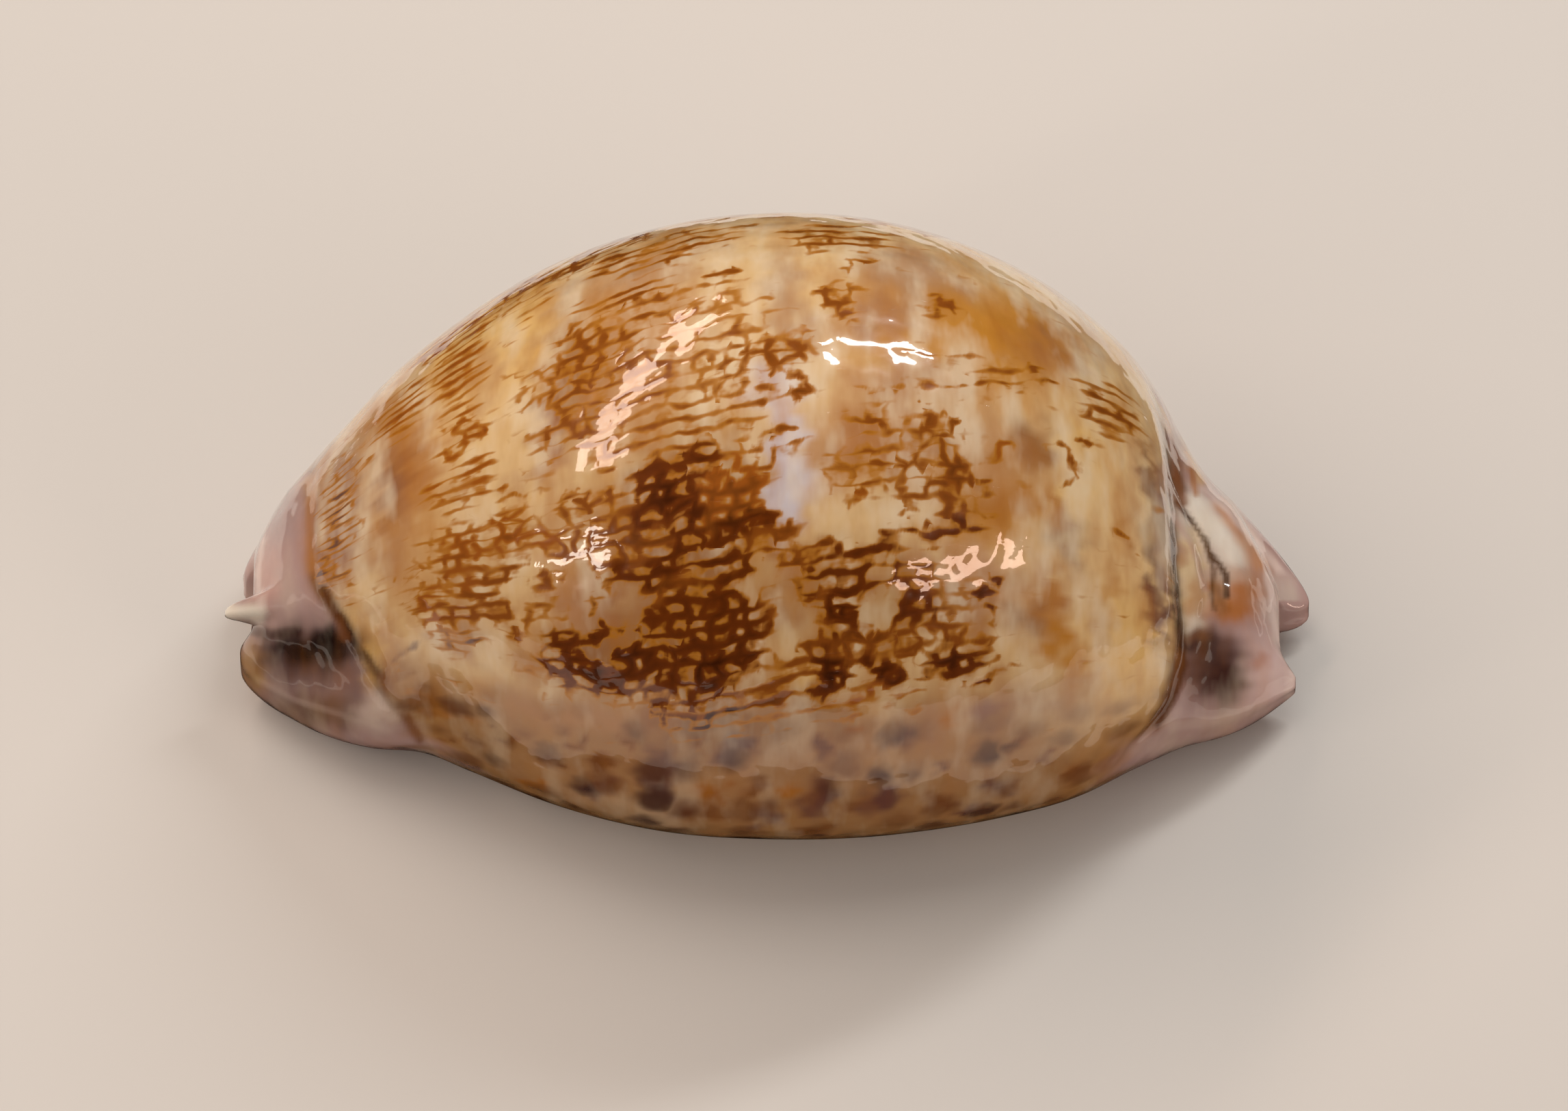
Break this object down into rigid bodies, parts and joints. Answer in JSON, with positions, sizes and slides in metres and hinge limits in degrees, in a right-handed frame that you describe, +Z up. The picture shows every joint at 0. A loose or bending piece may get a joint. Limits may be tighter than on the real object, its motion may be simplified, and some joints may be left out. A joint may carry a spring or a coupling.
{
  "type": "map cowrie shell",
  "caption": "Glossy egg-shaped sea shell resting on its toothed base, humped back marked with a net of brown lines, a notched canal at each end.",
  "frame": {"origin": "centre of the shell's bounding box in X and Y, on the plane that its base rests on", "axes": "+X towards the posterior end, +Y towards the side of the outer lip, +Z up through the humped back"},
  "size_m": [0.075, 0.0432, 0.0374],
  "materials": {
    "shell": "glossy enamel"
  },
  "bodies": {
    "root": {"shell": "shell"}
  },
  "joints": []
}
